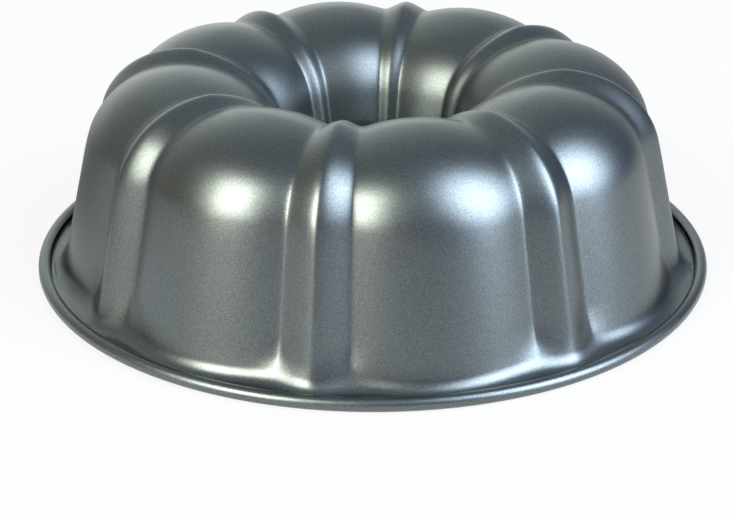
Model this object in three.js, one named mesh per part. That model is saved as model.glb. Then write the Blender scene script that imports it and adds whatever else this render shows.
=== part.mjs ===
// A fluted tube pan: a deep-drawn sheet shell with a wired rim, and a separate tube locked into its middle.
// The pan stands upside down on its rim, with the rim's rest plane at z = 0 and the tube's axis on z.

import * as THREE from 'three';

// Driving dimensions, in millimetres and degrees.

// Sheet metal
const SHEET = 0.8;
const FIT_GAP = 0.3;

// Rolled rim: the flange's edge bends down, then turns out, up and back in around a wire
const RIM_RADIUS = 133;
const CURL_RADIUS = 2.5;
const CURL_SIDES = 8;
const CURL_END = 163;
const EDGE_BEND = 1.4;
const FLANGE_TOP = 2.4;
const WIRE_RADIUS = 1.2;

// Outer wall, along the bottom of the valley beside a rib
const WALL_FOOT_RADIUS = 118.4;
const WALL_DRAFT = 13.3;
const WALL_TOP = 53.6;

// Foot of the wall: its rounding on to the flange, wider in the valleys, which fill up on their way down
const FOOT_FILLET = 5.47;
const FOOT_SPREAD = 1.58;
const RUN_OUT_TOP = 17.8;
const RUN_OUT_MIDDLE = 9.5;
const RUN_OUT_FOOT = -2;
const VALLEY_REACH = 11.2;

// Crown, whose two sides are pulled curves: their first handle's share of the rise, and second's of the run
const CROWN_RADIUS = 72.47;
const CROWN_HEIGHT = 76.62;
const OUTER_PULL = { rise: 0.59, run: 0.54 };
const INNER_PULL = { rise: 0.636, run: 0.285 };

// Inner wall, from the crown down to the seam
const BORE_TOP = 56.02;
const BORE_TOP_RADIUS = 38.92;
const BORE_DRAFT = 13.57;
const BORE_FADE_TOP = 43;
const BORE_FADE_FOOT = 35.5;

// Seam between shell and tube
const SEAM_HEIGHT = 32;
const SEAM_BEND = 1.5;
const SEAM_LIP = 3.2;
const SEAM_FOLD_BEND = 0.4;
const SEAM_FOLD_REACH = 2.1;

// Tube
const TUBE_END = 4;
const TUBE_DRAFT = 5;
const TUBE_HEM_RADIUS = 1.4;

// Flutes: narrow roof-shaped ribs with wide lobes between them, each height at the wall, crown and bore
const FLUTE_COUNT = 8;
const FLUTE_PITCH = 360 / FLUTE_COUNT;
const RIB_HALF_ANGLE = 6.08;
const RIB_SOFTNESS = 0.168;
const RIB_SOFTENING = 0.7;
const RIB_RISE = { wall: 5.12, crown: 3.77, bore: 1.45 };
const LOBE_RISE = { wall: 5.39, crown: 3.9, bore: 2.04 };
const VALLEY_SOFTNESS = 0.42;
const VALLEY_FILL = 0.35;
const WALL_FLUTE_EVEN = 47.5;
const BORE_SWELL = 2.36;
const BORE_SWELL_RADIUS = 33;

// Facets
const APEX_COLUMN = 0.2;
const LOBE_STEPS = 4;
const CROWN_OUTER_STEPS = 5;
const CROWN_INNER_STEPS = 4;
const FILLET_STEPS = 3;
const LEVEL_ROUNDS = 6;
const BEND_STEPS = 2;
const HEM_STEPS = 4;
const TUBE_COLUMNS = 36;
const WIRE_SIDES = 6;
const WIRE_COLUMNS = 72;

const { degToRad, euclideanModulo, lerp, radToDeg, smoothstep } = THREE.MathUtils;

// Sections of sheet

// A station is a point on the sheet's shown face, with the way that face looks: an angle in degrees, from
// outwards to up and on.
function station(r, z, facing) {
  return { r, z, facing };
}

// Stations along an arc about a centre. The face looks away from the centre, or towards it if hollow.
function arcStations(centreR, centreZ, radius, fromAngle, toAngle, steps, hollow = false) {
  return Array.from({ length: steps + 1 }, (_, i) => {
    const angle = lerp(fromAngle, toAngle, i / steps);
    const a = degToRad(angle);
    const facing = hollow ? angle + 180 : angle;
    return station(centreR + radius * Math.cos(a), centreZ + radius * Math.sin(a), facing);
  });
}

// Stations along a curve, its first point left out. The face looks to the left of the way it runs.
function curveStations(curve, steps) {
  return Array.from({ length: steps }, (_, i) => {
    const point = curve.getPoint((i + 1) / steps);
    const way = curve.getTangent((i + 1) / steps);
    const facing = radToDeg(Math.atan2(way.x, -way.y));
    return station(point.x, point.y, facing);
  });
}

// A point a distance along an angle from a station.
function moved(point, angle, distance) {
  const a = degToRad(angle);
  return { r: point.r + distance * Math.cos(a), z: point.z + distance * Math.sin(a) };
}

// The closed outline of the sheet along its stations: out along the back face and home along the shown face.
function sheetOutline(stations) {
  const back = stations.map((s) => moved(s, s.facing + 180, SHEET));
  return [...back, ...[...stations].reverse()];
}

// Flutes

// Heights above the valley of a rib's roof and of a lobe's dome at an azimuth, each carried on past the
// valley. A rib stands at azimuth 0.
function fluteFaces(azimuth, ribRise, lobeRise) {
  const halfPitch = FLUTE_PITCH / 2;
  const fromRib = Math.abs(euclideanModulo(azimuth + halfPitch, FLUTE_PITCH) - halfPitch);
  const softness = RIB_SOFTNESS * (RIB_RISE.wall / ribRise) ** RIB_SOFTENING;
  const across = (x) => Math.hypot(x, softness);
  const roof = ribRise * (across(1) - across(fromRib / RIB_HALF_ANGLE)) / (across(1) - softness);
  const fromLobe = (halfPitch - fromRib) / (halfPitch - RIB_HALF_ANGLE);
  return { roof, dome: lobeRise * (1 - fromLobe ** 2) };
}

// How far the sheet stands above the valley at an azimuth.
function fluteRise(azimuth, ribRise, lobeRise) {
  const { roof, dome } = fluteFaces(azimuth, ribRise, lobeRise);
  const rounded = Math.hypot((roof - dome) / 2, VALLEY_SOFTNESS);
  return (roof + dome) / 2 + rounded - (1 - VALLEY_FILL) * VALLEY_SOFTNESS;
}

// How near the wall is to the bottom of a valley: 1 there, and 0 at the tops of ribs and lobes.
function valleyShare(azimuth) {
  const { roof, dome } = fluteFaces(azimuth, RIB_RISE.wall, LOBE_RISE.wall);
  const apart = Math.hypot(roof - dome, 2 * VALLEY_SOFTNESS);
  return Math.max(1 - apart / VALLEY_REACH, 0) ** 2;
}

// Presses the flutes into a station of the outer wall or the bore, with heights between there and the crown.
function fluted(s, side, azimuth) {
  const swell = Math.max((s.r - BORE_SWELL_RADIUS) / (CROWN_RADIUS - BORE_SWELL_RADIUS), 0) ** BORE_SWELL;
  const crownShare = side === 'wall' ? smoothstep(s.z, WALL_FLUTE_EVEN, CROWN_HEIGHT) : swell;
  const fade = side === 'wall' ? 1 : smoothstep(s.z, BORE_FADE_FOOT, BORE_FADE_TOP);
  const rib = lerp(RIB_RISE[side], RIB_RISE.crown, crownShare);
  const lobe = lerp(LOBE_RISE[side], LOBE_RISE.crown, crownShare);
  const { r, z } = moved(s, s.facing, fade * fluteRise(azimuth, rib, lobe));
  return station(r, z, s.facing);
}

// Azimuths of the fluted shell's columns: on and beside each rib's top, in the valleys and across the lobes.
function fluteColumns() {
  const lobeStep = (FLUTE_PITCH / 2 - RIB_HALF_ANGLE) / LOBE_STEPS;
  const half = [APEX_COLUMN * RIB_HALF_ANGLE];
  for (let i = 0; i < LOBE_STEPS; i += 1) {
    half.push(RIB_HALF_ANGLE + i * lobeStep);
  }
  const pitch = [0, ...half, FLUTE_PITCH / 2, ...half.map((a) => FLUTE_PITCH - a).reverse()];
  return Array.from({ length: FLUTE_COUNT }, (_, i) => pitch.map((a) => a + i * FLUTE_PITCH)).flat();
}

function evenColumns(count) {
  return Array.from({ length: count }, (_, i) => 360 * i / count);
}

// Solids

// A closed ring with an outline as its section at each azimuth, counter-clockwise with radius to the right.
function ringSolid(azimuths, outlineAt) {
  const positions = [];
  const index = [];
  const outlines = azimuths.map(outlineAt);
  const count = outlines[0].length;
  azimuths.forEach((azimuth, column) => {
    const a = degToRad(azimuth);
    for (const { r, z } of outlines[column]) {
      positions.push(r * Math.sin(a), -r * Math.cos(a), z);
    }
    const here = column * count;
    const next = ((column + 1) % azimuths.length) * count;
    for (let i = 0; i < count; i += 1) {
      const j = (i + 1) % count;
      index.push(here + i, next + i, here + j);
      index.push(here + j, next + i, next + j);
    }
  });
  const geometry = new THREE.BufferGeometry();
  geometry.setAttribute('position', new THREE.Float32BufferAttribute(positions, 3));
  geometry.setIndex(index);
  geometry.computeVertexNormals();
  return geometry;
}

function piece(name, geometry, color, roughness, metalness) {
  const material = new THREE.MeshStandardMaterial({ color, roughness, metalness });
  const mesh = new THREE.Mesh(geometry, material);
  mesh.name = name;
  return mesh;
}

// Pan shell

const boreRadiusAt = (z) => BORE_TOP_RADIUS - (BORE_TOP - z) * Math.tan(degToRad(BORE_DRAFT));
const wallRadiusAt = (z) => WALL_FOOT_RADIUS - z * Math.tan(degToRad(WALL_DRAFT));
const SEAM_RADIUS = boreRadiusAt(SEAM_HEIGHT);

// The lip that the tube's fold grips, and the bend from it up into the inner wall.
function seamLip() {
  const bendR = boreRadiusAt(SEAM_HEIGHT + SEAM_BEND) + SEAM_BEND;
  const bend = arcStations(bendR, SEAM_HEIGHT + SEAM_BEND, SEAM_BEND, 270, 180 - BORE_DRAFT, BEND_STEPS);
  return [station(SEAM_RADIUS + SEAM_LIP, SEAM_HEIGHT, 270), ...bend];
}

// The inner wall and the crown, from the seam over the top to the outer wall, as they are without flutes.
function crownSides() {
  const boreFacing = 180 - BORE_DRAFT;
  const wall = [BORE_FADE_FOOT, BORE_FADE_TOP, BORE_TOP].map((z) => station(boreRadiusAt(z), z, boreFacing));
  const top = new THREE.Vector2(CROWN_RADIUS, CROWN_HEIGHT);

  const boreEnd = new THREE.Vector2(BORE_TOP_RADIUS, BORE_TOP);
  const boreWay = new THREE.Vector2(Math.tan(degToRad(BORE_DRAFT)), 1).normalize();
  const boreHandle = boreEnd.clone().addScaledVector(boreWay, INNER_PULL.rise * (CROWN_HEIGHT - BORE_TOP));
  const innerHandle = new THREE.Vector2(top.x - INNER_PULL.run * (top.x - boreEnd.x), top.y);
  const inner = new THREE.CubicBezierCurve(boreEnd, boreHandle, innerHandle, top);

  const wallEnd = new THREE.Vector2(wallRadiusAt(WALL_TOP), WALL_TOP);
  const wallWay = new THREE.Vector2(-Math.tan(degToRad(WALL_DRAFT)), 1).normalize();
  const wallHandle = wallEnd.clone().addScaledVector(wallWay, OUTER_PULL.rise * (CROWN_HEIGHT - WALL_TOP));
  const outerHandle = new THREE.Vector2(top.x + OUTER_PULL.run * (wallEnd.x - top.x), top.y);
  const outer = new THREE.CubicBezierCurve(top, outerHandle, wallHandle, wallEnd);

  return {
    bore: [...wall, ...curveStations(inner, CROWN_INNER_STEPS)],
    wall: curveStations(outer, CROWN_OUTER_STEPS),
  };
}

// The lower wall at an azimuth, and the fillet that carries its flutes out on to the flange.
function footStations(azimuth) {
  const lean = degToRad(WALL_DRAFT);
  const share = valleyShare(azimuth);
  const fillet = FOOT_FILLET + FOOT_SPREAD * share;
  const flutes = fluteRise(azimuth, RIB_RISE.wall, LOBE_RISE.wall);

  const heightAt = (level) => {
    const runOut = 1 - smoothstep(level, RUN_OUT_FOOT, RUN_OUT_TOP);
    return flutes + runOut * share * VALLEY_REACH / 4;
  };

  // A point out from the straight wall at a level
  const outFrom = (level, depth, facing) => {
    const wall = station(wallRadiusAt(level), level, WALL_DRAFT);
    const { r, z } = moved(wall, WALL_DRAFT, depth);
    return station(r, z, facing);
  };

  // The level on the straight wall behind a point that lies a way down into the fillet
  const levelBehind = (into) => {
    let level = FLANGE_TOP;
    for (let i = 0; i < LEVEL_ROUNDS; i += 1) {
      const start = ((heightAt(level) + fillet) * Math.sin(lean) - fillet) / Math.cos(lean);
      level = FLANGE_TOP - (start + into) * Math.cos(lean);
    }
    return level;
  };

  const wall = [RUN_OUT_TOP, RUN_OUT_MIDDLE].map((level) => outFrom(level, heightAt(level), WALL_DRAFT));
  const rounding = Array.from({ length: FILLET_STEPS + 1 }, (_, i) => {
    const facing = lerp(WALL_DRAFT, 90, i / FILLET_STEPS);
    const turn = degToRad(facing - WALL_DRAFT);
    const level = levelBehind(fillet * Math.sin(turn));
    return outFrom(level, heightAt(level) + fillet * (1 - Math.cos(turn)), facing);
  });
  return [...wall, ...rounding];
}

// The bend at the flange's edge, and the curl around the wire, with flats that touch the roll's outline.
function curlStations() {
  const centre = { r: RIM_RADIUS - CURL_RADIUS, z: CURL_RADIUS };
  const inside = CURL_RADIUS - SHEET;
  const rise = centre.z - (FLANGE_TOP - EDGE_BEND);
  const run = Math.sqrt((inside + EDGE_BEND) ** 2 - rise ** 2);
  const meeting = radToDeg(Math.atan2(rise, run));

  const halfSide = 180 / CURL_SIDES;
  const corner = CURL_RADIUS / Math.cos(degToRad(halfSide)) - SHEET;
  const curlPoint = (angle, radius) => {
    const { r, z } = moved(centre, angle, radius);
    return station(r, z, angle + 180);
  };
  const bottom = 270 - halfSide;
  const corners = Array.from({ length: CURL_SIDES - 2 }, (_, i) => {
    return curlPoint(bottom + 2 * halfSide * i, corner);
  });
  return [
    station(centre.r - run, FLANGE_TOP, 90),
    curlPoint(180 + meeting, inside),
    ...corners,
    curlPoint(CURL_END, inside),
  ];
}

function panShell() {
  const lip = seamLip();
  const sides = crownSides();
  const curl = curlStations();
  return ringSolid(fluteColumns(), (azimuth) => {
    const bore = sides.bore.map((s) => fluted(s, 'bore', azimuth));
    const wall = sides.wall.map((s) => fluted(s, 'wall', azimuth));
    return sheetOutline([...lip, ...bore, ...wall, ...footStations(azimuth), ...curl]);
  });
}

// Centre tube

// The tube's fold, which runs out under the shell's lip, round its edge and back over it. The fold's edge
// keeps its distance from the lip along the flats between the tube's columns too.
function seamFold() {
  const under = SEAM_HEIGHT - FIT_GAP;
  const over = SEAM_HEIGHT + SHEET + FIT_GAP;
  const edge = (SEAM_RADIUS + SEAM_LIP + FIT_GAP) / Math.cos(Math.PI / TUBE_COLUMNS);
  const turnIn = edge - SEAM_FOLD_BEND;
  const bendR = SEAM_RADIUS + SEAM_BEND;
  const bend = arcStations(bendR, under - SEAM_BEND, SEAM_BEND, 180 - TUBE_DRAFT, 90, BEND_STEPS);
  const lower = arcStations(turnIn, under + SEAM_FOLD_BEND, SEAM_FOLD_BEND, -90, 0, BEND_STEPS, true);
  const upper = arcStations(turnIn, over - SEAM_FOLD_BEND, SEAM_FOLD_BEND, 0, 90, BEND_STEPS, true);
  return [...bend, ...lower, ...upper, station(SEAM_RADIUS + SEAM_FOLD_REACH, over, 270)];
}

// The hem that rolls the tube's free end outwards.
function tubeHem() {
  const drop = SEAM_HEIGHT - TUBE_END - TUBE_HEM_RADIUS;
  const endRadius = SEAM_RADIUS - drop * Math.tan(degToRad(TUBE_DRAFT));
  const centreR = endRadius + TUBE_HEM_RADIUS;
  const centreZ = TUBE_END + TUBE_HEM_RADIUS;
  return arcStations(centreR, centreZ, TUBE_HEM_RADIUS, 360, 180 - TUBE_DRAFT, HEM_STEPS);
}

function centreTube() {
  const outline = sheetOutline([...tubeHem(), ...seamFold()]);
  return ringSolid(evenColumns(TUBE_COLUMNS), () => outline);
}

// Rim wire

function rimWire() {
  const outline = Array.from({ length: WIRE_SIDES }, (_, i) => {
    return moved({ r: RIM_RADIUS - CURL_RADIUS, z: CURL_RADIUS }, 360 * i / WIRE_SIDES, WIRE_RADIUS);
  });
  return ringSolid(evenColumns(WIRE_COLUMNS), () => outline);
}

const pan = new THREE.Group();
pan.name = 'fluted_tube_pan';
pan.add(piece('pan_shell', panShell(), '#5c6164', 0.38, 0.85));
pan.add(piece('centre_tube', centreTube(), '#5c6164', 0.38, 0.85));
pan.add(piece('rim_wire', rimWire(), '#9a9c9e', 0.35, 1));

export default pan;
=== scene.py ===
"""Looks of a fluted tube pan, standing upside down on its rim under soft studio light.

The coated shell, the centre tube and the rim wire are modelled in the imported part's own frame, in metres,
with the tube's axis on Z and a rib on -Y. Angles around the axis are counted from -Y towards +X.
"""

import logging
import math
from dataclasses import dataclass, field
from enum import Enum
from functools import partial
from typing import Callable, Iterable, Sequence

import bpy
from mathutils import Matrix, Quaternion, Vector


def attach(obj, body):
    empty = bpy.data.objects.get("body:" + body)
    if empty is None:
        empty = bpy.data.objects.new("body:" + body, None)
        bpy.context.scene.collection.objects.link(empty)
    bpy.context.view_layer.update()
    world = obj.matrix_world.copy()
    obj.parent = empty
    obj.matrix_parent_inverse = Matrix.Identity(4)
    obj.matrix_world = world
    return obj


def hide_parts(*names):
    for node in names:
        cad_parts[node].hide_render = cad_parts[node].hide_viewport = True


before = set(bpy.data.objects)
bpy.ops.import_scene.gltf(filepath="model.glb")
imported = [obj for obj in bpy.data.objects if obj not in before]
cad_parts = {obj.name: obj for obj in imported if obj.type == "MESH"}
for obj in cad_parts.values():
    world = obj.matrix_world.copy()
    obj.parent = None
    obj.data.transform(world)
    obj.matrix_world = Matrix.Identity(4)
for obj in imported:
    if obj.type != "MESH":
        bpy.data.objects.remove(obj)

MM = 0.001
MERGE_DISTANCE = 0.005 * MM
PICK_DISTANCE = 0.01 * MM
BODY = "root"
MATHS = "ShaderNodeMath"
VECTORS = "ShaderNodeVectorMath"
LOG = logging.getLogger("fluted_tube_pan")

Point = tuple[float, float]
Triple = tuple[float, float, float]
Shader = bpy.types.NodeSocket | float | Triple

CENTRE: Triple = (0.0, 0.0, 0.0)
RIGHT: Triple = (1.0, 0.0, 0.0)
BACK: Triple = (0.0, 1.0, 0.0)
UP: Triple = (0.0, 0.0, 1.0)
LEVEL: Triple = (1.0, 1.0, 0.0)


class Node(Enum):
    """CAD nodes that the finished pieces stand for."""

    SHELL = "pan_shell"
    TUBE = "centre_tube"
    WIRE = "rim_wire"


class Slot(Enum):
    """Material slot names."""

    SHEET = "coated_sheet"
    WIRE = "rim_wire"


class Outline(Enum):
    """Outlines of a soft lamp."""

    SQUARE = "RECTANGLE"
    ROUND = "ELLIPSE"


class Side(Enum):
    """The two sides of the crown."""

    WALL = "wall"
    BORE = "bore"


# Small geometry helpers


def smoothstep(value: float, low: float, high: float) -> float:
    """Ease from 0 at low to 1 at high."""
    x = min(max((value - low) / (high - low), 0.0), 1.0)
    return x * x * (3.0 - 2.0 * x)


def mix(low: float, high: float, share: float) -> float:
    """Blend two values by a share from 0 to 1."""
    return low + (high - low) * share


def arc(centre: Point, radius: float, start: float, end: float, steps: int) -> list[Point]:
    """Points along an arc in the section plane.

    Args:
        centre: Radius and height of the arc's centre.
        radius: Radius of the arc.
        start: First angle in degrees, from outwards to up.
        end: Last angle in degrees.
        steps: Number of steps between them.

    Returns:
        The points, both ends included.
    """
    angles = [math.radians(mix(start, end, i / steps)) for i in range(steps + 1)]
    return [(centre[0] + radius * math.cos(a), centre[1] + radius * math.sin(a)) for a in angles]


def pulled_curve(ends: tuple[Point, Point], handles: tuple[Point, Point], steps: int) -> list[Point]:
    """Points along a cubic curve, its first point left out.

    Args:
        ends: First and last point.
        handles: The points that the curve leaves and arrives by.
        steps: Number of steps.

    Returns:
        The points after the first one.
    """
    points = []
    for i in range(1, steps + 1):
        t = i / steps
        weights = ((1 - t) ** 3, 3 * t * (1 - t) ** 2, 3 * t * t * (1 - t), t ** 3)
        corners = (ends[0], handles[0], handles[1], ends[1])
        points.append(tuple(sum(w * c[k] for w, c in zip(weights, corners)) for k in range(2)))
    return points


def bearing(azimuth: float) -> Triple:
    """Level direction at an angle around the axis, counted in degrees from -Y towards +X."""
    turn = math.radians(azimuth)
    return math.sin(turn), -math.cos(turn), 0.0


def radius_of(place: Vector) -> float:
    """Distance of a place from the tube's axis."""
    return math.hypot(place.x, place.y)


# Modelling by operators


class Workbench:
    """Operator steps on one new mesh object, as they would be taken by hand."""

    def __init__(self, name: str) -> None:
        """Start an empty mesh object from a plane and open it for editing."""
        if bpy.context.object and bpy.context.object.mode != "OBJECT":
            bpy.ops.object.mode_set(mode="OBJECT")
        bpy.ops.object.select_all(action="DESELECT")
        bpy.ops.mesh.primitive_plane_add(size=MM)
        self.piece = bpy.context.object
        self.piece.name = name
        self.piece.data.name = name
        self.edit()
        bpy.ops.mesh.delete(type="VERT")

    def edit(self) -> None:
        """Open the mesh for editing."""
        bpy.ops.object.mode_set(mode="EDIT")
        bpy.ops.mesh.select_mode(type="VERT")

    def close(self) -> None:
        """Go back to object mode."""
        bpy.ops.object.mode_set(mode="OBJECT")

    def draw_section(self, points: Sequence[Point]) -> None:
        """Draw a chain of edges at azimuth 0, by extruding one vertex from point to point.

        Args:
            points: Radius and height of each vertex.
        """
        bpy.ops.mesh.select_all(action="DESELECT")
        start = (0.0, -points[0][0], points[0][1])
        bpy.ops.mesh.primitive_plane_add(size=MM, location=start)
        bpy.ops.mesh.merge(type="CENTER")
        for before, after in zip(points, points[1:]):
            step = (0.0, before[0] - after[0], after[1] - before[1])
            bpy.ops.mesh.extrude_region_move(TRANSFORM_OT_translate={"value": step})

    def select(self, wanted: Callable[[Vector], bool], mode: str = "VERT") -> int:
        """Select the vertices at wanted places, and the edges or faces between them.

        Args:
            wanted: Says if a vertex's place is wanted.
            mode: Selection mode to leave the mesh in.

        Returns:
            Number of selected vertices.
        """
        bpy.ops.mesh.select_mode(type="VERT")
        bpy.ops.mesh.select_all(action="DESELECT")
        self.close()
        count = 0
        for vertex in self.piece.data.vertices:
            vertex.select = wanted(vertex.co)
            count += vertex.select
        bpy.ops.object.mode_set(mode="EDIT")
        bpy.ops.mesh.select_mode(type=mode)
        return count

    def sweep(self, steps: Iterable[float]) -> None:
        """Turn the selected chains about the tube's axis, a column of faces for each step in degrees."""
        for step in steps:
            bpy.ops.mesh.spin(steps=1, angle=math.radians(step), center=CENTRE, axis=UP)

    def repeat_round(self, copies: int) -> None:
        """Copy the whole mesh evenly round the axis and close the seams."""
        bpy.ops.mesh.select_all(action="SELECT")
        turn = 2 * math.pi / copies
        bpy.ops.mesh.spin(steps=copies - 1, angle=turn * (copies - 1), dupli=True, center=CENTRE, axis=UP)
        self.merge()

    def merge(self) -> None:
        """Merge doubled vertices and make the faces agree."""
        bpy.ops.mesh.select_all(action="SELECT")
        bpy.ops.mesh.remove_doubles(threshold=MERGE_DISTANCE)
        bpy.ops.mesh.normals_make_consistent(inside=False)

    def face_up(self, wanted: Callable[[Vector], bool]) -> None:
        """Turn all faces over if those at a wanted place look down.

        Args:
            wanted: Says if a face's middle is at the place that has to look up.
        """
        self.close()
        tilt = sum(p.normal.z for p in self.piece.data.polygons if wanted(p.center))
        self.edit()
        bpy.ops.mesh.select_all(action="SELECT")
        if tilt < 0:
            bpy.ops.mesh.flip_normals()

    def modify(self, kind: str, **settings: object) -> None:
        """Add a modifier, set it and apply it.

        Args:
            kind: Type of modifier.
            settings: Its settings by name.
        """
        self.close()
        bpy.ops.object.modifier_add(type=kind)
        modifier = self.piece.modifiers[-1]
        for name, value in settings.items():
            setattr(modifier, name, value)
        bpy.ops.object.modifier_apply(modifier=modifier.name)
        self.edit()

    def finish(self, crease: float) -> bpy.types.Object:
        """Shade the mesh smooth, except over a crease angle in degrees.

        Args:
            crease: Angle between faces from which an edge stays sharp.

        Returns:
            The finished object.
        """
        self.close()
        bpy.ops.object.shade_smooth_by_angle(angle=math.radians(crease))
        return self.piece


# Finishes


def maths_step(tree: bpy.types.NodeTree, kind: str, operation: str, *inputs: Shader) -> bpy.types.NodeSocket:
    """Add a maths node to a shader.

    Args:
        tree: The shader's nodes.
        kind: Type of the node.
        operation: What it works out.
        *inputs: Its inputs in order, each a socket or a plain value.

    Returns:
        Its output.
    """
    node = tree.nodes.new(kind)
    node.operation = operation
    for socket, value in zip(node.inputs, inputs):
        if isinstance(value, bpy.types.NodeSocket):
            tree.links.new(value, socket)
        else:
            socket.default_value = value
    return node.outputs["Value" if operation == "DOT_PRODUCT" or kind == MATHS else "Vector"]


@dataclass(frozen=True)
class CoatedSheet:
    """Dark grey satin non-stick coating with a fine metallic grain, rougher down in the bore, where painted
    shade darkens its colour.
    """

    name: str = "coated_sheet"
    colour: Triple = (0.158, 0.182, 0.186)
    metallic: float = 1.0
    roughness: float = 0.325
    grain_size: float = 0.48 * MM
    grain_depth: float = 0.023 * MM
    grain_contrast: float = 0.26
    grain_range: Point = (0.3, 0.7)
    grain_detail: float = 2.0
    cloud_size: float = 35 * MM
    cloud_detail: float = 3.0
    cloud_roughness: float = 0.03
    dry_roughness: float = 0.07
    # Painted shade: how much darker the colour is made deep in the bore.
    bore_painted_shade: float = 0.12
    dry_and_shade_radii: Point = (38 * MM, 54 * MM)

    def material(self) -> bpy.types.Material:
        """Make the coating's material.

        Returns:
            The material.
        """
        made = bpy.data.materials.new(self.name)
        made.use_nodes = True
        nodes = made.node_tree.nodes
        link = made.node_tree.links.new
        shader = nodes["Principled BSDF"]
        shader.inputs["Metallic"].default_value = self.metallic
        place = nodes.new("ShaderNodeTexCoord")

        grain = nodes.new("ShaderNodeTexNoise")
        grain.inputs["Scale"].default_value = 1 / self.grain_size
        grain.inputs["Detail"].default_value = self.grain_detail
        link(place.outputs["Object"], grain.inputs["Vector"])

        shade = nodes.new("ShaderNodeMapRange")
        shade.inputs["From Min"].default_value = self.grain_range[0]
        shade.inputs["From Max"].default_value = self.grain_range[1]
        shade.inputs["To Min"].default_value = 1 - self.grain_contrast
        shade.inputs["To Max"].default_value = 1 + self.grain_contrast
        link(grain.outputs["Fac"], shade.inputs["Value"])

        step = partial(maths_step, made.node_tree)
        across = step(VECTORS, "MULTIPLY", place.outputs["Object"], LEVEL)
        # Mask that rises to 1 deep in the bore: it raises the roughness there and paints shade into the
        # colour.
        dry_and_shade = nodes.new("ShaderNodeMapRange")
        dry_and_shade.interpolation_type = "SMOOTHSTEP"
        dry_and_shade.inputs["From Min"].default_value = self.dry_and_shade_radii[1]
        dry_and_shade.inputs["From Max"].default_value = self.dry_and_shade_radii[0]
        radius = step(VECTORS, "DOT_PRODUCT", across, step(VECTORS, "NORMALIZE", across))
        link(radius, dry_and_shade.inputs["Value"])
        dryness_and_shade = dry_and_shade.outputs["Result"]
        # Painted shade: the base colour is darkened deep in the bore.
        painted_shade_factor = step(MATHS, "MULTIPLY_ADD", dryness_and_shade, -self.bore_painted_shade, 1.0)
        tint = step(VECTORS, "MULTIPLY", self.colour, step(MATHS, "MULTIPLY", shade.outputs["Result"], painted_shade_factor))
        link(tint, shader.inputs["Base Color"])

        cloud = nodes.new("ShaderNodeTexNoise")
        cloud.inputs["Scale"].default_value = 1 / self.cloud_size
        cloud.inputs["Detail"].default_value = self.cloud_detail
        link(place.outputs["Object"], cloud.inputs["Vector"])
        gloss = nodes.new("ShaderNodeMapRange")
        gloss.inputs["To Min"].default_value = self.roughness - self.cloud_roughness
        gloss.inputs["To Max"].default_value = self.roughness + self.cloud_roughness
        link(cloud.outputs["Fac"], gloss.inputs["Value"])
        rough = step(MATHS, "MULTIPLY_ADD", dryness_and_shade, self.dry_roughness, gloss.outputs["Result"])
        link(rough, shader.inputs["Roughness"])

        bump = nodes.new("ShaderNodeBump")
        bump.inputs["Strength"].default_value = 1.0
        bump.inputs["Distance"].default_value = self.grain_depth
        link(grain.outputs["Fac"], bump.inputs["Height"])
        link(bump.outputs["Normal"], shader.inputs["Normal"])
        return made


@dataclass(frozen=True)
class DrawnWire:
    """Bright drawn steel, with fine marks along the wire."""

    name: str = "drawn_wire"
    colour: Triple = (0.55, 0.56, 0.57)
    roughness: float = 0.32
    mark_size: float = 0.6 * MM
    mark_roughness: float = 0.1

    def material(self) -> bpy.types.Material:
        """Make the wire's material.

        Returns:
            The material.
        """
        made = bpy.data.materials.new(self.name)
        made.use_nodes = True
        nodes = made.node_tree.nodes
        link = made.node_tree.links.new
        shader = nodes["Principled BSDF"]
        shader.inputs["Metallic"].default_value = 1.0
        shader.inputs["Base Color"].default_value = (*self.colour, 1.0)
        place = nodes.new("ShaderNodeTexCoord")
        marks = nodes.new("ShaderNodeTexNoise")
        marks.inputs["Scale"].default_value = 1 / self.mark_size
        link(place.outputs["Object"], marks.inputs["Vector"])
        gloss = nodes.new("ShaderNodeMapRange")
        gloss.inputs["To Min"].default_value = self.roughness - self.mark_roughness
        gloss.inputs["To Max"].default_value = self.roughness + self.mark_roughness
        link(marks.outputs["Fac"], gloss.inputs["Value"])
        link(gloss.outputs["Result"], shader.inputs["Roughness"])
        return made


# Pan


@dataclass(frozen=True)
class Rise:
    """Height of a flute above the valley, at the wall, the crown and the bore."""

    wall: float
    crown: float
    bore: float

    def at(self, side: Side, crown_share: float) -> float:
        """Height on one side of the crown, for a share of the way up to it."""
        low = self.wall if side is Side.WALL else self.bore
        return mix(low, self.crown, crown_share)


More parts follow.
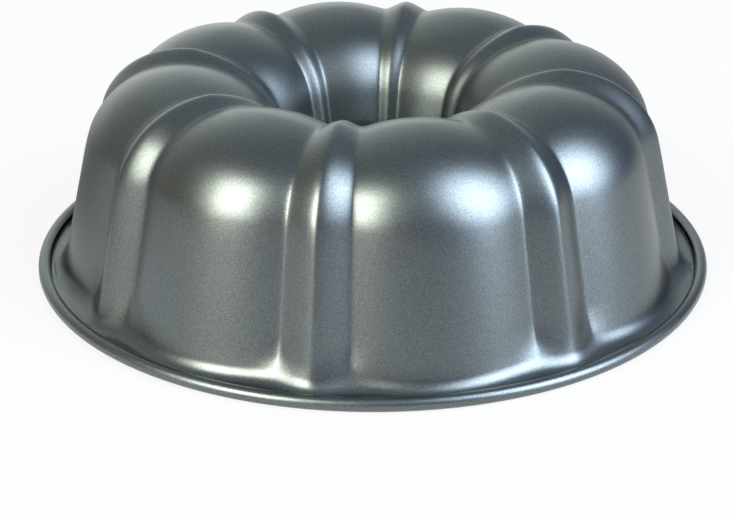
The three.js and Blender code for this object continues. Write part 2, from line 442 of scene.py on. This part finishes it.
@dataclass(frozen=True)
class Flutes:
    """Narrow roof-shaped ribs with wide lobes between them."""

    count: int = 8
    rib_half_angle: float = 6.08
    rib_softness: float = 0.168
    softening: float = 0.7
    rib: Rise = Rise(5.12 * MM, 3.77 * MM, 1.45 * MM)
    lobe: Rise = Rise(5.39 * MM, 3.9 * MM, 2.8 * MM)
    valley_softness: float = 0.42 * MM
    valley_fill: float = 0.35
    valley_reach: float = 11.2 * MM
    run_out_fill: float = 0.25
    foot_softness: float = 2.2 * MM
    foot_rounding: float = 2.6
    rib_columns: int = 8
    lobe_columns: int = 9

    @property
    def half_pitch(self) -> float:
        """Angle from a rib's top to the middle of the next lobe, in degrees."""
        return 180.0 / self.count

    def column_angles(self) -> list[float]:
        """Angles of the columns from a rib's top to a lobe's middle, closer at the top and the valley.

        Returns:
            Angles in degrees.
        """
        rib = [
            self.rib_half_angle * (1 - math.cos(math.pi * i / self.rib_columns)) / 2
            for i in range(self.rib_columns + 1)
        ]
        lobe = [
            mix(self.half_pitch, self.rib_half_angle, math.cos(math.pi / 2 * i / self.lobe_columns))
            for i in range(1, self.lobe_columns + 1)
        ]
        return rib + lobe

    def faces(self, azimuth: float, rib: float, lobe: float, foot_share: float = 0.0) -> Point:
        """Heights of the rib's roof and of the lobe's dome above the valley, each carried on past it.

        Args:
            azimuth: Angle around the axis in degrees.
            rib: Height of the rib at this level.
            lobe: Height of the lobe at this level.
            foot_share: Share of the way down to the foot, where the roof is rounder.

        Returns:
            Height of the roof and of the dome in metres.
        """
        pitch = 2 * self.half_pitch
        from_rib = abs((azimuth + self.half_pitch) % pitch - self.half_pitch)
        top = self.rib_softness * (self.rib.wall / rib) ** self.softening
        top *= mix(1.0, self.foot_rounding, foot_share)
        across = math.hypot(from_rib / self.rib_half_angle, top)
        roof = rib * (math.hypot(1, top) - across) / (math.hypot(1, top) - top)
        from_lobe = (self.half_pitch - from_rib) / (self.half_pitch - self.rib_half_angle)
        return roof, lobe * (1 - from_lobe ** 2)

    def apart(self, faces: Point, foot_share: float) -> float:
        """How far the roof and the dome lie apart, rounded off where they meet and more so at the foot.

        Args:
            faces: Height of the roof and of the dome.
            foot_share: Share of the way down to the foot.

        Returns:
            Distance in metres.
        """
        soft = mix(self.valley_softness, self.foot_softness, foot_share)
        return math.hypot(faces[0] - faces[1], 2 * soft)

    def height(self, azimuth: float, rib: float, lobe: float, foot_share: float = 0.0) -> float:
        """Height of the sheet above the valley.

        Args:
            azimuth: Angle around the axis in degrees.
            rib: Height of the rib at this level.
            lobe: Height of the lobe at this level.
            foot_share: Share of the way down to the foot.

        Returns:
            Height in metres.
        """
        faces = self.faces(azimuth, rib, lobe, foot_share)
        rounded = (sum(faces) + self.apart(faces, foot_share)) / 2
        return rounded - (1 - self.valley_fill) * self.valley_softness

    def valley_share(self, azimuth: float, foot_share: float) -> float:
        """How near the wall is to the bottom of a valley: 1 there, and 0 on top of ribs and lobes.

        Args:
            azimuth: Angle around the axis in degrees.
            foot_share: Share of the way down to the foot.

        Returns:
            The share.
        """
        faces = self.faces(azimuth, self.rib.wall, self.lobe.wall, foot_share)
        return max(1 - self.apart(faces, foot_share) / self.valley_reach, 0.0) ** 2


@dataclass
class PanShell:
    """The drawn sheet: rolled rim, flange, fluted wall, crown and fluted inner wall down to the seam."""

    sheet: float = 0.8 * MM
    rim_radius: float = 132.98 * MM
    curl_radius: float = 2.5 * MM
    curl_height: float = 2.51 * MM
    curl_bend: float = 2.0 * MM
    curl_end: float = 505.0
    flange_top: float = 2.4 * MM
    flange_slope: float = 2.0
    flange_reach: float = 126.6 * MM
    wall_foot_radius: float = 118.4 * MM
    wall_draft: float = 13.3
    wall_top: float = 53.6 * MM
    foot_fillet: float = 5.47 * MM
    foot_spread: float = 1.58 * MM
    valley_run_out: Point = (-2 * MM, 17.8 * MM)
    foot_round_off: Point = (1 * MM, 11 * MM)
    foot_rows: int = 28
    foot_crowding: float = 1.6
    crown_radius: float = 72.47 * MM
    crown_height: float = 76.62 * MM
    outer_pull: Point = (0.59, 0.54)
    inner_pull: Point = (0.79, 0.28)
    bore_top: float = 54 * MM
    bore_top_radius: float = 38.43 * MM
    bore_draft: float = 13.57
    bore_swell: float = 2.36
    bore_swell_radius: float = 33 * MM
    bore_fade: Point = (35.5 * MM, 40.5 * MM)
    seam_height: float = 32 * MM
    seam_bend: float = 1.5 * MM
    seam_lip: float = 3.2 * MM
    even_wall: float = 47.5 * MM
    flutes: Flutes = field(default_factory=Flutes)
    seam_rows: int = 4
    bore_rows: int = 10
    inner_rows: int = 18
    outer_rows: int = 20
    wall_rows: int = 9
    bend_rows: int = 6
    curl_rows: int = 24
    curl_drop: float = 30 * MM
    top_share: float = 0.98
    crease: float = 50.0

    def bore_radius(self, z: float) -> float:
        """Radius of the inner wall at a height."""
        return self.bore_top_radius - (self.bore_top - z) * math.tan(math.radians(self.bore_draft))

    def wall_radius(self, z: float) -> float:
        """Radius of the outer wall's valley at a height."""
        return self.wall_foot_radius - z * math.tan(math.radians(self.wall_draft))

    @property
    def foot_turn(self) -> float:
        """Angle between the flange and the straight wall's normal, in radians."""
        return math.radians(self.wall_draft + self.flange_slope)

    @property
    def flange_width(self) -> float:
        """Level distance from the straight wall's foot to the flange's edge."""
        return self.flange_reach - self.wall_radius(self.flange_top)

    @property
    def flange_edge(self) -> float:
        """Height of the flange at its edge, where it bends into the roll."""
        return self.flange_top - self.flange_width * math.tan(math.radians(self.flange_slope))

    @property
    def deepest_press(self) -> float:
        """How far the flange's edge lies out from the straight wall."""
        return self.flange_width * math.cos(self.foot_turn) / math.cos(math.radians(self.flange_slope))

    @property
    def curl_centre(self) -> Point:
        """Radius and height of the middle of the roll."""
        return self.rim_radius - self.curl_radius, self.curl_height

    @property
    def seam_radius(self) -> float:
        """Radius of the inner wall where the tube takes over."""
        return self.bore_radius(self.seam_height)

    def foot_share(self, level: float) -> float:
        """Share of the way from the even wall down to the foot, at a height on the straight wall."""
        return 1 - smoothstep(level, *self.foot_round_off)

    def foot_levels(self) -> list[float]:
        """Levels on the straight wall that the foot and the flange are pressed out from, closer low down.

        Returns:
            Heights from the top down.
        """
        along = self.deepest_press * math.tan(self.foot_turn)
        lowest = self.flange_top - along * math.cos(math.radians(self.wall_draft))
        shares = [(1 - i / self.foot_rows) ** self.foot_crowding for i in range(self.foot_rows + 1)]
        return [mix(lowest, self.valley_run_out[1], share) for share in shares]

    def foot_depth(self, level: float, azimuth: float, height: float) -> float:
        """How far the foot is pressed out of the straight wall: fluted wall, rounding, then flange.

        Args:
            level: Height on the straight wall.
            azimuth: Angle around the axis in degrees.
            height: Height of the flutes above the valley.

        Returns:
            Depth in metres.
        """
        share = self.flutes.valley_share(azimuth, self.foot_share(level))
        run_out = 1 - smoothstep(level, *self.valley_run_out)
        height += run_out * share * self.flutes.run_out_fill * self.flutes.valley_reach
        fillet = self.foot_fillet + self.foot_spread * share
        turn = self.foot_turn
        down = (self.flange_top - level) / math.cos(math.radians(self.wall_draft))
        into = down - ((height + fillet) * math.sin(turn) - fillet) / math.cos(turn)
        if into <= 0:
            return height
        if into < fillet * math.cos(turn):
            return height + fillet - math.sqrt(fillet ** 2 - into ** 2)
        return down / math.tan(turn)

    def bowl_section(self) -> list[Point]:
        """Section of the plain bowl from the seam's lip over the crown down the straight wall.

        Returns:
            Radius and height of each point.
        """
        bend_z = self.seam_height + self.seam_bend
        bend_centre = (self.bore_radius(bend_z) + self.seam_bend, bend_z)
        lip = [(self.seam_radius + self.seam_lip, self.seam_height)]
        bend = arc(bend_centre, self.seam_bend, 270, 180 - self.bore_draft, self.seam_rows)
        bore_shares = [i / self.bore_rows for i in range(self.bore_rows + 1)]
        bore_levels = [mix(self.bore_fade[0], self.bore_top, share) for share in bore_shares]
        bore = [(self.bore_radius(z), z) for z in bore_levels]

        top = (self.crown_radius, self.crown_height)
        inner_rise = self.inner_pull[0] * (self.crown_height - self.bore_top)
        lean = math.radians(self.bore_draft)
        bore_end = bore[-1]
        inner_handles = (
            (bore_end[0] + inner_rise * math.sin(lean), bore_end[1] + inner_rise * math.cos(lean)),
            (top[0] - self.inner_pull[1] * (top[0] - bore_end[0]), top[1]),
        )
        inner = pulled_curve((bore_end, top), inner_handles, self.inner_rows)

        wall_end = (self.wall_radius(self.wall_top), self.wall_top)
        outer_rise = self.outer_pull[0] * (self.crown_height - self.wall_top)
        lean = math.radians(self.wall_draft)
        outer_handles = (
            (top[0] + self.outer_pull[1] * (wall_end[0] - top[0]), top[1]),
            (wall_end[0] - outer_rise * math.sin(lean), wall_end[1] + outer_rise * math.cos(lean)),
        )
        outer = pulled_curve((top, wall_end), outer_handles, self.outer_rows)

        foot_levels = self.foot_levels()
        wall_shares = [i / self.wall_rows for i in range(1, self.wall_rows)]
        wall_levels = [mix(self.wall_top, foot_levels[0], share) for share in wall_shares]
        wall = [(self.wall_radius(z), z) for z in [*wall_levels, *foot_levels]]
        return [*lip, *bend, *bore, *inner, *outer, *wall]

    def curl_section(self) -> list[Point]:
        """Section of the bend at the flange's edge and of the curl around the wire, on the shown face.

        Returns:
            Radius and height of each point.
        """
        centre = self.curl_centre
        inside = self.curl_radius - self.sheet
        bend_z = self.flange_edge - self.curl_bend
        rise = centre[1] - bend_z
        run = math.sqrt((inside + self.curl_bend) ** 2 - rise ** 2)
        meet = math.degrees(math.atan2(rise, run))
        bend = arc((centre[0] - run, bend_z), self.curl_bend, 90, meet, self.bend_rows)
        return [*bend[:-1], *arc(centre, inside, 180 + meet, self.curl_end, self.curl_rows)]

    def press_depth(self, place: Vector) -> float:
        """How far the sheet is pressed out of the plain bowl at a place.

        Args:
            place: A point of the plain bowl.

        Returns:
            Depth in metres.
        """
        radius = radius_of(place)
        azimuth = math.degrees(math.atan2(place.x, -place.y))
        if radius > self.crown_radius:
            crown_share = smoothstep(place.z, self.even_wall, self.crown_height)
            rib = self.flutes.rib.at(Side.WALL, crown_share)
            lobe = self.flutes.lobe.at(Side.WALL, crown_share)
            height = self.flutes.height(azimuth, rib, lobe, self.foot_share(place.z))
            return self.foot_depth(place.z, azimuth, height)
        run = self.crown_radius - self.bore_swell_radius
        crown_share = max((radius - self.bore_swell_radius) / run, 0.0) ** self.bore_swell
        rib = self.flutes.rib.at(Side.BORE, crown_share)
        lobe = self.flutes.lobe.at(Side.BORE, crown_share)
        return smoothstep(place.z, *self.bore_fade) * self.flutes.height(azimuth, rib, lobe)

    def _at_top(self, middle: Vector) -> bool:
        """Say if a face's middle lies on the top of the crown."""
        return middle.z > self.top_share * self.crown_height

    def _turn_bowl(self, bench: Workbench) -> None:
        """Turn half a flute's width of the plain bowl and the lowered curl, and copy it round the axis."""
        bench.draw_section(self.bowl_section())
        bench.draw_section([(r, z - self.curl_drop) for r, z in self.curl_section()])
        bpy.ops.mesh.select_all(action="SELECT")
        angles = self.flutes.column_angles()
        bench.sweep(after - before for before, after in zip(angles, angles[1:]))
        bench.modify("MIRROR", use_axis=(True, False, False), merge_threshold=MERGE_DISTANCE)
        bench.repeat_round(self.flutes.count)
        bench.face_up(self._at_top)

    def _press_flutes(self, bench: Workbench) -> None:
        """Press the ribs, the lobes and the foot out of the plain bowl, by weights on its points."""
        bench.close()
        reach = self.deepest_press
        group = bench.piece.vertex_groups.new(name="press")
        for vertex in bench.piece.data.vertices:
            if vertex.co.z > -self.curl_drop / 2:
                group.add([vertex.index], self.press_depth(vertex.co) / reach, "REPLACE")
        bench.modify("DISPLACE", direction="NORMAL", strength=reach, mid_level=0.0, vertex_group=group.name)
        bench.piece.vertex_groups.clear()

    def _join_flange(self, bench: Workbench) -> None:
        """Bridge the wall's foot to the lowered curl, and lift the curl into place."""
        curl_start = self.curl_section()[0]
        ends = ((self.flange_reach, self.flange_edge), (curl_start[0], curl_start[1] - self.curl_drop))

        def at_end(place: Vector) -> bool:
            """Say if a place lies on either of the two edges to join."""
            return any(math.dist((radius_of(place), place.z), end) < PICK_DISTANCE for end in ends)

        bench.select(at_end, "EDGE")
        bpy.ops.mesh.bridge_edge_loops()
        bench.select(lambda p: p.z < 0)
        bpy.ops.transform.translate(value=(0, 0, self.curl_drop))

    def build(self) -> bpy.types.Object:
        """Model the shell.

        Returns:
            The finished object.
        """
        bench = Workbench("fluted_shell")
        self._turn_bowl(bench)
        self._press_flutes(bench)
        self._join_flange(bench)
        bench.merge()
        bench.face_up(self._at_top)
        bench.modify("SOLIDIFY", thickness=self.sheet, offset=-1.0, use_even_offset=True)
        return bench.finish(self.crease)


@dataclass
class CentreTube:
    """The plain tapered tube, hemmed at its free end and folded round the shell's lip at the other."""

    shell: PanShell
    gap: float = 0.3 * MM
    end: float = 4 * MM
    draft: float = 5.0
    hem_radius: float = 1.4 * MM
    fold_bend: float = 0.4 * MM
    fold_reach: float = 2.1 * MM
    hem_rows: int = 10
    corner_rows: int = 5
    fold_rows: int = 4
    columns: int = 144
    crease: float = 50.0

    def section(self) -> list[Point]:
        """Section of the tube's shown face from the hem's edge to the fold's edge.

        Returns:
            Radius and height of each point.
        """
        seam_r = self.shell.seam_radius
        seam_z = self.shell.seam_height
        bend = self.shell.seam_bend
        drop = seam_z - self.end - self.hem_radius
        end_radius = seam_r - drop * math.tan(math.radians(self.draft))
        hem_centre = (end_radius + self.hem_radius, self.end + self.hem_radius)
        hem = arc(hem_centre, self.hem_radius, 360, 180 - self.draft, self.hem_rows)

        under = seam_z - self.gap
        over = seam_z + self.shell.sheet + self.gap
        turn = seam_r + self.shell.seam_lip + self.gap - self.fold_bend
        corner = arc((seam_r + bend, under - bend), bend, 180 - self.draft, 90, self.corner_rows)
        lower = arc((turn, under + self.fold_bend), self.fold_bend, -90, 0, self.fold_rows)
        upper = arc((turn, over - self.fold_bend), self.fold_bend, 0, 90, self.fold_rows)
        return [*hem, *corner, *lower, *upper, (seam_r + self.fold_reach, over)]

    def build(self) -> bpy.types.Object:
        """Model the tube.

        Returns:
            The finished object.
        """
        bench = Workbench("locked_tube")
        bench.draw_section(self.section())
        bpy.ops.mesh.select_all(action="SELECT")
        bpy.ops.mesh.spin(steps=self.columns, angle=2 * math.pi, center=CENTRE, axis=UP)
        bench.merge()
        under = self.shell.seam_height - self.gap
        bench.face_up(lambda middle: abs(middle.z - under) < PICK_DISTANCE)
        bench.modify("SOLIDIFY", thickness=self.shell.sheet, offset=-1.0, use_even_offset=True)
        return bench.finish(self.crease)


@dataclass
class RimWire:
    """The steel wire inside the rolled rim."""

    shell: PanShell
    radius: float = 1.2 * MM
    sides: int = 14
    columns: int = 180
    crease: float = 60.0

    def build(self) -> bpy.types.Object:
        """Model the wire.

        Returns:
            The finished object.
        """
        bench = Workbench("rolled_in_wire")
        bench.draw_section(arc(self.shell.curl_centre, self.radius, 0, 360, self.sides))
        bench.merge()
        bpy.ops.mesh.spin(steps=self.columns, angle=2 * math.pi, center=CENTRE, axis=UP)
        bench.merge()
        return bench.finish(self.crease)


# Studio


@dataclass(frozen=True)
class PhotoCamera:
    """The camera at the photograph's place, in a picture 733 wide and 520 high."""

    azimuth: float = 9.864
    elevation: float = 21.446
    distance: float = 652.89 * MM
    aim_height: float = 40 * MM
    pitch: float = 25.052
    yaw: float = 0.229
    focal_pixels: float = 1650.0
    picture_width: float = 733.0
    sensor: float = 36.0
    clip: Point = (0.01, 100.0)

    def build(self) -> bpy.types.Object:
        """Place the camera and make it the scene's own.

        Returns:
            The camera object.
        """
        climb = math.radians(self.elevation)
        data = bpy.data.cameras.new("photo_camera")
        data.sensor_width = self.sensor
        data.lens = self.focal_pixels / self.picture_width * self.sensor
        data.clip_start, data.clip_end = self.clip
        camera = bpy.data.objects.new("photo_camera", data)
        camera.location = Vector(bearing(self.azimuth)) * self.distance * math.cos(climb)
        camera.location.z = self.aim_height + self.distance * math.sin(climb)
        heading = math.radians(self.azimuth + self.yaw)
        camera.rotation_euler = (math.radians(90 - self.pitch), 0.0, heading)
        bpy.context.scene.collection.objects.link(camera)
        bpy.context.scene.camera = camera
        return camera


@dataclass(frozen=True)
class SoftBox:
    """A tall soft lamp, placed by its direction from the pan and turned towards it, that fades to its edge.

    Its core is the share of its size that shines in full, and its shadow is a painted shadow: how much the
    floor's light is painted darker behind the pan, opposite this lamp.
    """

    name: str
    outline: Outline
    azimuth: float
    elevation: float
    roll: float
    width: float
    height: float
    core: float
    radiance: float
    colour: Triple
    # How deep the painted shadow on the floor is, behind the pan opposite this lamp.
    shadow: float
    distance: float = 3.0
    aim_height: float = 60 * MM
    layers: int = 4
    layer_gap: float = 1 * MM

    def _layer(self, number: int, way: Vector) -> bpy.types.Object:
        """Place one of the lamp's layers, each a little smaller than the one before and in front of it.

        Args:
            number: The layer's number from 0.
            way: Direction from the pan to the lamp.

        Returns:
            The layer's light object.
        """
        share = (number + 0.5) / self.layers
        faded = 0.5 - math.sin(math.asin(1 - 2 * share) / 3)
        size = mix(1.0, self.core, faded)
        name = f"{self.name}_{number + 1}"
        data = bpy.data.lights.new(name, "AREA")
        data.shape = self.outline.value
        data.size = self.width * size
        data.size_y = self.height * size
        fill = math.pi / 4 if self.outline is Outline.ROUND else 1.0
        data.energy = self.radiance / self.layers * math.pi * fill * data.size * data.size_y
        data.color = self.colour
        lamp = bpy.data.objects.new(name, data)
        lamp.location = way * (self.distance - number * self.layer_gap)
        lamp.location.z += self.aim_height
        roll = Quaternion(UP, math.radians(self.roll))
        lamp.rotation_euler = (way.to_track_quat("Z", "Y") @ roll).to_euler()
        bpy.context.scene.collection.objects.link(lamp)
        return lamp

    def build(self) -> list[bpy.types.Object]:
        """Place the lamp's layers, aimed at the pan.

        Returns:
            The light objects.
        """
        climb = math.radians(self.elevation)
        way = Vector(bearing(self.azimuth)) * math.cos(climb) + Vector(UP) * math.sin(climb)
        return [self._layer(number, way) for number in range(self.layers)]


@dataclass(frozen=True)
class Studio:
    """White floor, plain surroundings and two soft lamps."""

    floor_width: float = 12.0
    floor_drop: float = 0.05 * MM
    floor_shade: float = 0.558
    floor_glow: float = 0.85
    # How narrow the painted shadows on the floor are.
    painted_shadow_narrowness: float = 11.5
    room_colour: Triple = (0.178, 0.167, 0.196)
    room_across: Triple = (-0.066, -0.033, 0.042)
    room_along: Triple = (-0.118, -0.119, -0.127)
    room_up: Triple = (0.071, 0.109, 0.124)
    screen_colour: Triple = (1.389, 1.476, 1.430)
    screen_top_share: float = 0.065
    screen_azimuth: float = 201.0
    screen_narrowness: float = 5.0
    screen_widening: float = 2.5
    lamps: tuple[SoftBox, ...] = (
        SoftBox(
            name="left_lamp",
            outline=Outline.SQUARE,
            azimuth=-34.2,
            elevation=31.9,
            roll=7.5,
            width=2.02,
            height=2.95,
            core=0.44,
            radiance=10.6,
            colour=(1.041, 1.009, 0.847),
            shadow=0.48,
        ),
        SoftBox(
            name="right_lamp",
            outline=Outline.ROUND,
            azimuth=75.0,
            elevation=33.6,
            roll=4.0,
            width=3.8,
            height=5.28,
            core=0.15,
            radiance=8.1,
            colour=(0.918, 1.013, 1.166),
            shadow=0.7,
        ),
    )

    def _floor(self) -> bpy.types.Object:
        """Make the nearly white floor, with painted shadows behind the pan, away from the lamps, that show
        in the pan's walls.

        Returns:
            The floor object.
        """
        bpy.ops.object.select_all(action="DESELECT")
        bpy.ops.mesh.primitive_plane_add(size=self.floor_width, location=(0, 0, -self.floor_drop))
        floor = bpy.context.object
        floor.name = "studio_floor"
        made = bpy.data.materials.new("studio_floor")
        made.use_nodes = True
        nodes = made.node_tree.nodes
        link = made.node_tree.links.new
        nodes.clear()
        step = partial(maths_step, made.node_tree)
        rays = nodes.new("ShaderNodeLightPath").outputs
        shown = step(MATHS, "MAXIMUM", rays["Is Glossy Ray"], rays["Is Transmission Ray"])
        shown = step(MATHS, "MAXIMUM", shown, rays["Is Camera Ray"])
        place = nodes.new("ShaderNodeTexCoord").outputs["Object"]
        level_way = step(VECTORS, "NORMALIZE", step(VECTORS, "MULTIPLY", place, LEVEL))
        painted_lit: Shader = 1.0
        # Painted shadow: a soft wedge of darker floor behind the pan, opposite each lamp, left out for
        # camera rays.
        for lamp in self.lamps:
            facing = step(VECTORS, "DOT_PRODUCT", level_way, bearing(lamp.azimuth + 180))
            off_axis = step(MATHS, "MULTIPLY", step(MATHS, "SUBTRACT", facing, 1.0), self.painted_shadow_narrowness)
            shadow = step(MATHS, "MULTIPLY", step(MATHS, "EXPONENT", off_axis), lamp.shadow)
            painted_lit = step(MATHS, "MULTIPLY", painted_lit, step(MATHS, "SUBTRACT", 1.0, shadow))
        painted_lit = step(MATHS, "MAXIMUM", painted_lit, rays["Is Camera Ray"])
        matt = nodes.new("ShaderNodeBsdfDiffuse")
        link(step(MATHS, "MULTIPLY", painted_lit, self.floor_shade), matt.inputs["Color"])
        glow = nodes.new("ShaderNodeEmission")
        link(painted_lit, glow.inputs["Strength"])
        blend = nodes.new("ShaderNodeMixShader")
        link(step(MATHS, "MULTIPLY", shown, self.floor_glow), blend.inputs["Fac"])
        link(matt.outputs[0], blend.inputs[1])
        link(glow.outputs[0], blend.inputs[2])
        output = nodes.new("ShaderNodeOutputMaterial")
        link(blend.outputs[0], output.inputs["Surface"])
        floor.data.materials.append(made)
        return floor

    def _surroundings(self) -> None:
        """Make the plain room: grey, lighter above and in front, with a white screen behind the pan."""
        world = bpy.data.worlds.new("studio_room")
        world.use_nodes = True
        bpy.context.scene.world = world
        nodes = world.node_tree.nodes
        step = partial(maths_step, world.node_tree)
        way = nodes.new("ShaderNodeTexCoord").outputs["Generated"]
        room: Shader = self.room_colour
        for axis, change in ((RIGHT, self.room_across), (BACK, self.room_along), (UP, self.room_up)):
            share = step(VECTORS, "DOT_PRODUCT", way, axis)
            room = step(VECTORS, "ADD", room, step(VECTORS, "MULTIPLY", change, share))
        room = step(VECTORS, "MAXIMUM", room, CENTRE)

        level_way = step(VECTORS, "NORMALIZE", step(VECTORS, "MULTIPLY", way, LEVEL))
        facing = step(VECTORS, "DOT_PRODUCT", level_way, bearing(self.screen_azimuth))
        off_axis = step(MATHS, "SUBTRACT", facing, 1.0)
        height = step(MATHS, "MAXIMUM", step(VECTORS, "DOT_PRODUCT", way, UP), 0.0)
        narrowness = step(MATHS, "MULTIPLY_ADD", height, -self.screen_widening, self.screen_narrowness)
        spread = step(MATHS, "EXPONENT", step(MATHS, "MULTIPLY", off_axis, narrowness))
        glow = step(MATHS, "MULTIPLY_ADD", height, self.screen_top_share - 1, 1.0)
        screen = step(VECTORS, "MULTIPLY", self.screen_colour, step(MATHS, "MULTIPLY", spread, glow))
        background = nodes["Background"].inputs["Color"]
        world.node_tree.links.new(step(VECTORS, "ADD", room, screen), background)

    def build(self) -> None:
        """Set up the floor, the surroundings, the lamps and the view's plain colours."""
        self._floor()
        self._surroundings()
        for lamp in self.lamps:
            lamp.build()
        bpy.context.scene.view_settings.view_transform = "Standard"


def dress(piece: bpy.types.Object, material: bpy.types.Material, node: Node) -> None:
    """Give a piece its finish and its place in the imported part, and report it.

    Args:
        piece: The finished object.
        material: Its finish.
        node: The CAD node that it stands for.
    """
    piece.data.materials.clear()
    piece.data.materials.append(material)
    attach(piece, BODY)
    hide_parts(node.value)
    LOG.info("%s: %d faces, stands for %s", piece.name, len(piece.data.polygons), node.value)


def main() -> None:
    """Build the camera, the studio and the three pieces in order."""
    logging.basicConfig(level=logging.INFO, format="%(name)s: %(message)s")
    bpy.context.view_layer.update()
    PhotoCamera().build()
    Studio().build()
    coating = CoatedSheet().material()
    shell = PanShell()
    dress(shell.build(), coating, Node.SHELL)
    dress(CentreTube(shell).build(), coating, Node.TUBE)
    dress(RimWire(shell).build(), DrawnWire().material(), Node.WIRE)


if __name__ == "__main__":
    main()
